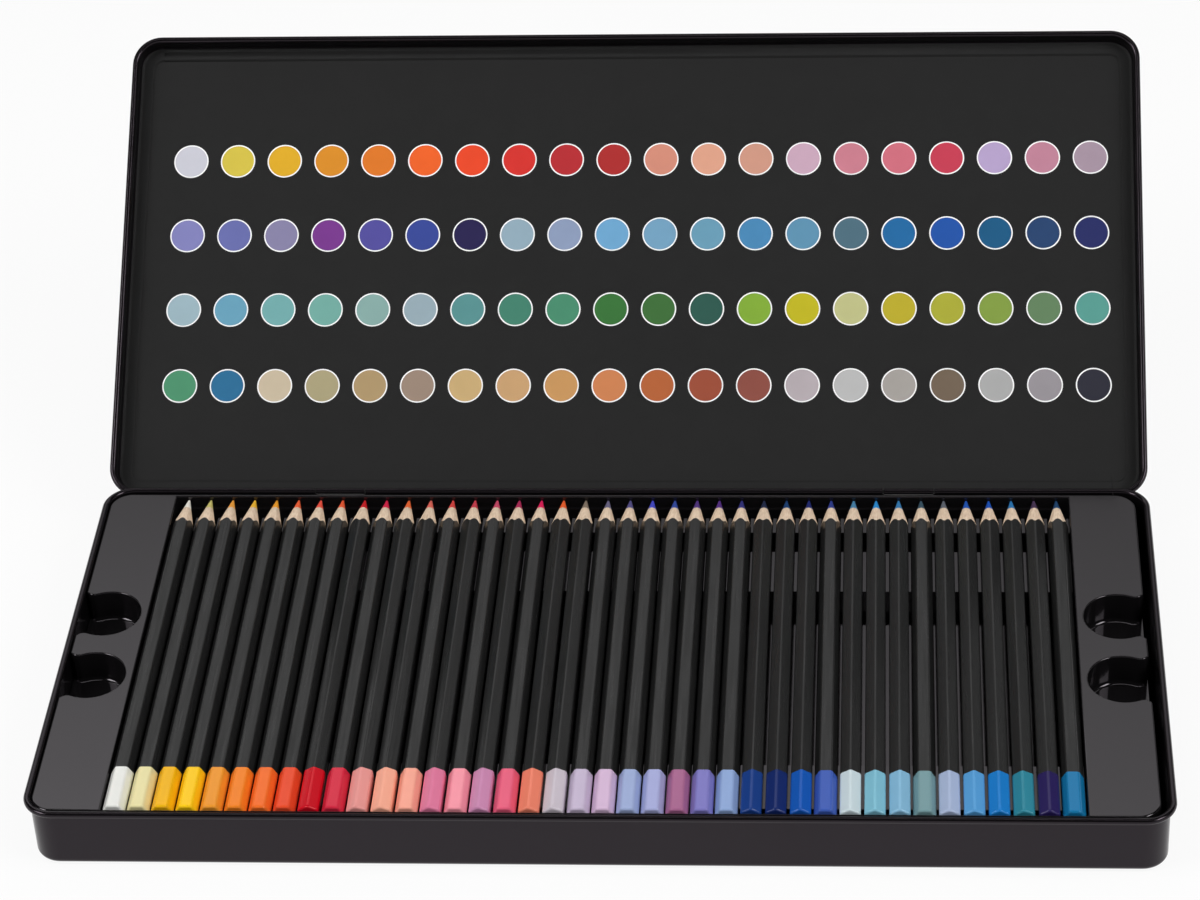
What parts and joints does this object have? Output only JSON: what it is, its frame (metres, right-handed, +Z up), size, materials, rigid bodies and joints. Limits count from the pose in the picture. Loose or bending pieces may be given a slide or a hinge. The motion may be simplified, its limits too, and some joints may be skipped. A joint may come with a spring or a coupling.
{
  "type": "colored pencil tin",
  "caption": "Flat hinged metal tin of colored pencils, with a color chart inside the lid and two stacked formed trays with finger notches.",
  "frame": {"origin": "middle of the flat face that the tin rests on", "axes": "+X to the right along the long side, +Y towards the hinge, +Z up"},
  "size_m": [0.385, 0.3279, 0.1333],
  "materials": {
    "tin_paint": "satin black",
    "hinge_wire": "bright",
    "tray_plastic": "gloss black",
    "pencil_wood": "lacquered dark gray with colored ends"
  },
  "bodies": {
    "base": {"tin_base": "tin_paint", "hinge_pin_left": "hinge_wire", "hinge_pin_right": "hinge_wire"},
    "lid": {"tin_lid": "tin_paint"},
    "lower_tray": {"lower_tray": "tray_plastic", "lower_pencils_01": "pencil_wood", "lower_pencils_02": "pencil_wood", "lower_pencils_03": "pencil_wood", "lower_pencils_04": "pencil_wood", "lower_pencils_05": "pencil_wood", "lower_pencils_06": "pencil_wood", "lower_pencils_07": "pencil_wood", "lower_pencils_08": "pencil_wood", "lower_pencils_09": "pencil_wood", "lower_pencils_10": "pencil_wood"},
    "upper_tray": {"upper_tray": "tray_plastic"},
    "pencil_01": {"pencil_01": "pencil_wood"},
    "pencil_02": {"pencil_02": "pencil_wood"},
    "pencil_03": {"pencil_03": "pencil_wood"},
    "pencil_04": {"pencil_04": "pencil_wood"},
    "pencil_05": {"pencil_05": "pencil_wood"},
    "pencil_06": {"pencil_06": "pencil_wood"},
    "pencil_07": {"pencil_07": "pencil_wood"},
    "pencil_08": {"pencil_08": "pencil_wood"},
    "pencil_09": {"pencil_09": "pencil_wood"},
    "pencil_10": {"pencil_10": "pencil_wood"},
    "pencil_11": {"pencil_11": "pencil_wood"},
    "pencil_12": {"pencil_12": "pencil_wood"},
    "pencil_13": {"pencil_13": "pencil_wood"},
    "pencil_14": {"pencil_14": "pencil_wood"},
    "pencil_15": {"pencil_15": "pencil_wood"},
    "pencil_16": {"pencil_16": "pencil_wood"},
    "pencil_17": {"pencil_17": "pencil_wood"},
    "pencil_18": {"pencil_18": "pencil_wood"},
    "pencil_19": {"pencil_19": "pencil_wood"},
    "pencil_20": {"pencil_20": "pencil_wood"},
    "pencil_21": {"pencil_21": "pencil_wood"},
    "pencil_22": {"pencil_22": "pencil_wood"},
    "pencil_23": {"pencil_23": "pencil_wood"},
    "pencil_24": {"pencil_24": "pencil_wood"},
    "pencil_25": {"pencil_25": "pencil_wood"},
    "pencil_26": {"pencil_26": "pencil_wood"},
    "pencil_27": {"pencil_27": "pencil_wood"},
    "pencil_28": {"pencil_28": "pencil_wood"},
    "pencil_29": {"pencil_29": "pencil_wood"},
    "pencil_30": {"pencil_30": "pencil_wood"},
    "pencil_31": {"pencil_31": "pencil_wood"},
    "pencil_32": {"pencil_32": "pencil_wood"},
    "pencil_33": {"pencil_33": "pencil_wood"},
    "pencil_34": {"pencil_34": "pencil_wood"},
    "pencil_35": {"pencil_35": "pencil_wood"},
    "pencil_36": {"pencil_36": "pencil_wood"},
    "pencil_37": {"pencil_37": "pencil_wood"},
    "pencil_38": {"pencil_38": "pencil_wood"},
    "pencil_39": {"pencil_39": "pencil_wood"},
    "pencil_40": {"pencil_40": "pencil_wood"}
  },
  "joints": [
    {"name": "lid_hinge", "type": "hinge", "parent": "base", "child": "lid", "pos_m": [0, 0.0903, 0.023], "axis": [-1, 0, 0], "range_deg": [-142, 0]},
    {"name": "lower_tray_lift", "type": "slide", "parent": "base", "child": "lower_tray", "axis": [0, 0, 1], "range_m": [0, 0.06]},
    {"name": "upper_tray_lift", "type": "slide", "parent": "lower_tray", "child": "upper_tray", "axis": [0, 0, 1], "range_m": [0, 0.04]},
    {"name": "pencil_01_lift", "type": "slide", "parent": "upper_tray", "child": "pencil_01", "axis": [0, 0, 1], "range_m": [0, 0.03]},
    {"name": "pencil_02_lift", "type": "slide", "parent": "upper_tray", "child": "pencil_02", "axis": [0, 0, 1], "range_m": [0, 0.03]},
    {"name": "pencil_03_lift", "type": "slide", "parent": "upper_tray", "child": "pencil_03", "axis": [0, 0, 1], "range_m": [0, 0.03]},
    {"name": "pencil_04_lift", "type": "slide", "parent": "upper_tray", "child": "pencil_04", "axis": [0, 0, 1], "range_m": [0, 0.03]},
    {"name": "pencil_05_lift", "type": "slide", "parent": "upper_tray", "child": "pencil_05", "axis": [0, 0, 1], "range_m": [0, 0.03]},
    {"name": "pencil_06_lift", "type": "slide", "parent": "upper_tray", "child": "pencil_06", "axis": [0, 0, 1], "range_m": [0, 0.03]},
    {"name": "pencil_07_lift", "type": "slide", "parent": "upper_tray", "child": "pencil_07", "axis": [0, 0, 1], "range_m": [0, 0.03]},
    {"name": "pencil_08_lift", "type": "slide", "parent": "upper_tray", "child": "pencil_08", "axis": [0, 0, 1], "range_m": [0, 0.03]},
    {"name": "pencil_09_lift", "type": "slide", "parent": "upper_tray", "child": "pencil_09", "axis": [0, 0, 1], "range_m": [0, 0.03]},
    {"name": "pencil_10_lift", "type": "slide", "parent": "upper_tray", "child": "pencil_10", "axis": [0, 0, 1], "range_m": [0, 0.03]},
    {"name": "pencil_11_lift", "type": "slide", "parent": "upper_tray", "child": "pencil_11", "axis": [0, 0, 1], "range_m": [0, 0.03]},
    {"name": "pencil_12_lift", "type": "slide", "parent": "upper_tray", "child": "pencil_12", "axis": [0, 0, 1], "range_m": [0, 0.03]},
    {"name": "pencil_13_lift", "type": "slide", "parent": "upper_tray", "child": "pencil_13", "axis": [0, 0, 1], "range_m": [0, 0.03]},
    {"name": "pencil_14_lift", "type": "slide", "parent": "upper_tray", "child": "pencil_14", "axis": [0, 0, 1], "range_m": [0, 0.03]},
    {"name": "pencil_15_lift", "type": "slide", "parent": "upper_tray", "child": "pencil_15", "axis": [0, 0, 1], "range_m": [0, 0.03]},
    {"name": "pencil_16_lift", "type": "slide", "parent": "upper_tray", "child": "pencil_16", "axis": [0, 0, 1], "range_m": [0, 0.03]},
    {"name": "pencil_17_lift", "type": "slide", "parent": "upper_tray", "child": "pencil_17", "axis": [0, 0, 1], "range_m": [0, 0.03]},
    {"name": "pencil_18_lift", "type": "slide", "parent": "upper_tray", "child": "pencil_18", "axis": [0, 0, 1], "range_m": [0, 0.03]},
    {"name": "pencil_19_lift", "type": "slide", "parent": "upper_tray", "child": "pencil_19", "axis": [0, 0, 1], "range_m": [0, 0.03]},
    {"name": "pencil_20_lift", "type": "slide", "parent": "upper_tray", "child": "pencil_20", "axis": [0, 0, 1], "range_m": [0, 0.03]},
    {"name": "pencil_21_lift", "type": "slide", "parent": "upper_tray", "child": "pencil_21", "axis": [0, 0, 1], "range_m": [0, 0.03]},
    {"name": "pencil_22_lift", "type": "slide", "parent": "upper_tray", "child": "pencil_22", "axis": [0, 0, 1], "range_m": [0, 0.03]},
    {"name": "pencil_23_lift", "type": "slide", "parent": "upper_tray", "child": "pencil_23", "axis": [0, 0, 1], "range_m": [0, 0.03]},
    {"name": "pencil_24_lift", "type": "slide", "parent": "upper_tray", "child": "pencil_24", "axis": [0, 0, 1], "range_m": [0, 0.03]},
    {"name": "pencil_25_lift", "type": "slide", "parent": "upper_tray", "child": "pencil_25", "axis": [0, 0, 1], "range_m": [0, 0.03]},
    {"name": "pencil_26_lift", "type": "slide", "parent": "upper_tray", "child": "pencil_26", "axis": [0, 0, 1], "range_m": [0, 0.03]},
    {"name": "pencil_27_lift", "type": "slide", "parent": "upper_tray", "child": "pencil_27", "axis": [0, 0, 1], "range_m": [0, 0.03]},
    {"name": "pencil_28_lift", "type": "slide", "parent": "upper_tray", "child": "pencil_28", "axis": [0, 0, 1], "range_m": [0, 0.03]},
    {"name": "pencil_29_lift", "type": "slide", "parent": "upper_tray", "child": "pencil_29", "axis": [0, 0, 1], "range_m": [0, 0.03]},
    {"name": "pencil_30_lift", "type": "slide", "parent": "upper_tray", "child": "pencil_30", "axis": [0, 0, 1], "range_m": [0, 0.03]},
    {"name": "pencil_31_lift", "type": "slide", "parent": "upper_tray", "child": "pencil_31", "axis": [0, 0, 1], "range_m": [0, 0.03]},
    {"name": "pencil_32_lift", "type": "slide", "parent": "upper_tray", "child": "pencil_32", "axis": [0, 0, 1], "range_m": [0, 0.03]},
    {"name": "pencil_33_lift", "type": "slide", "parent": "upper_tray", "child": "pencil_33", "axis": [0, 0, 1], "range_m": [0, 0.03]},
    {"name": "pencil_34_lift", "type": "slide", "parent": "upper_tray", "child": "pencil_34", "axis": [0, 0, 1], "range_m": [0, 0.03]},
    {"name": "pencil_35_lift", "type": "slide", "parent": "upper_tray", "child": "pencil_35", "axis": [0, 0, 1], "range_m": [0, 0.03]},
    {"name": "pencil_36_lift", "type": "slide", "parent": "upper_tray", "child": "pencil_36", "axis": [0, 0, 1], "range_m": [0, 0.03]},
    {"name": "pencil_37_lift", "type": "slide", "parent": "upper_tray", "child": "pencil_37", "axis": [0, 0, 1], "range_m": [0, 0.03]},
    {"name": "pencil_38_lift", "type": "slide", "parent": "upper_tray", "child": "pencil_38", "axis": [0, 0, 1], "range_m": [0, 0.03]},
    {"name": "pencil_39_lift", "type": "slide", "parent": "upper_tray", "child": "pencil_39", "axis": [0, 0, 1], "range_m": [0, 0.03]},
    {"name": "pencil_40_lift", "type": "slide", "parent": "upper_tray", "child": "pencil_40", "axis": [0, 0, 1], "range_m": [0, 0.03]}
  ]
}
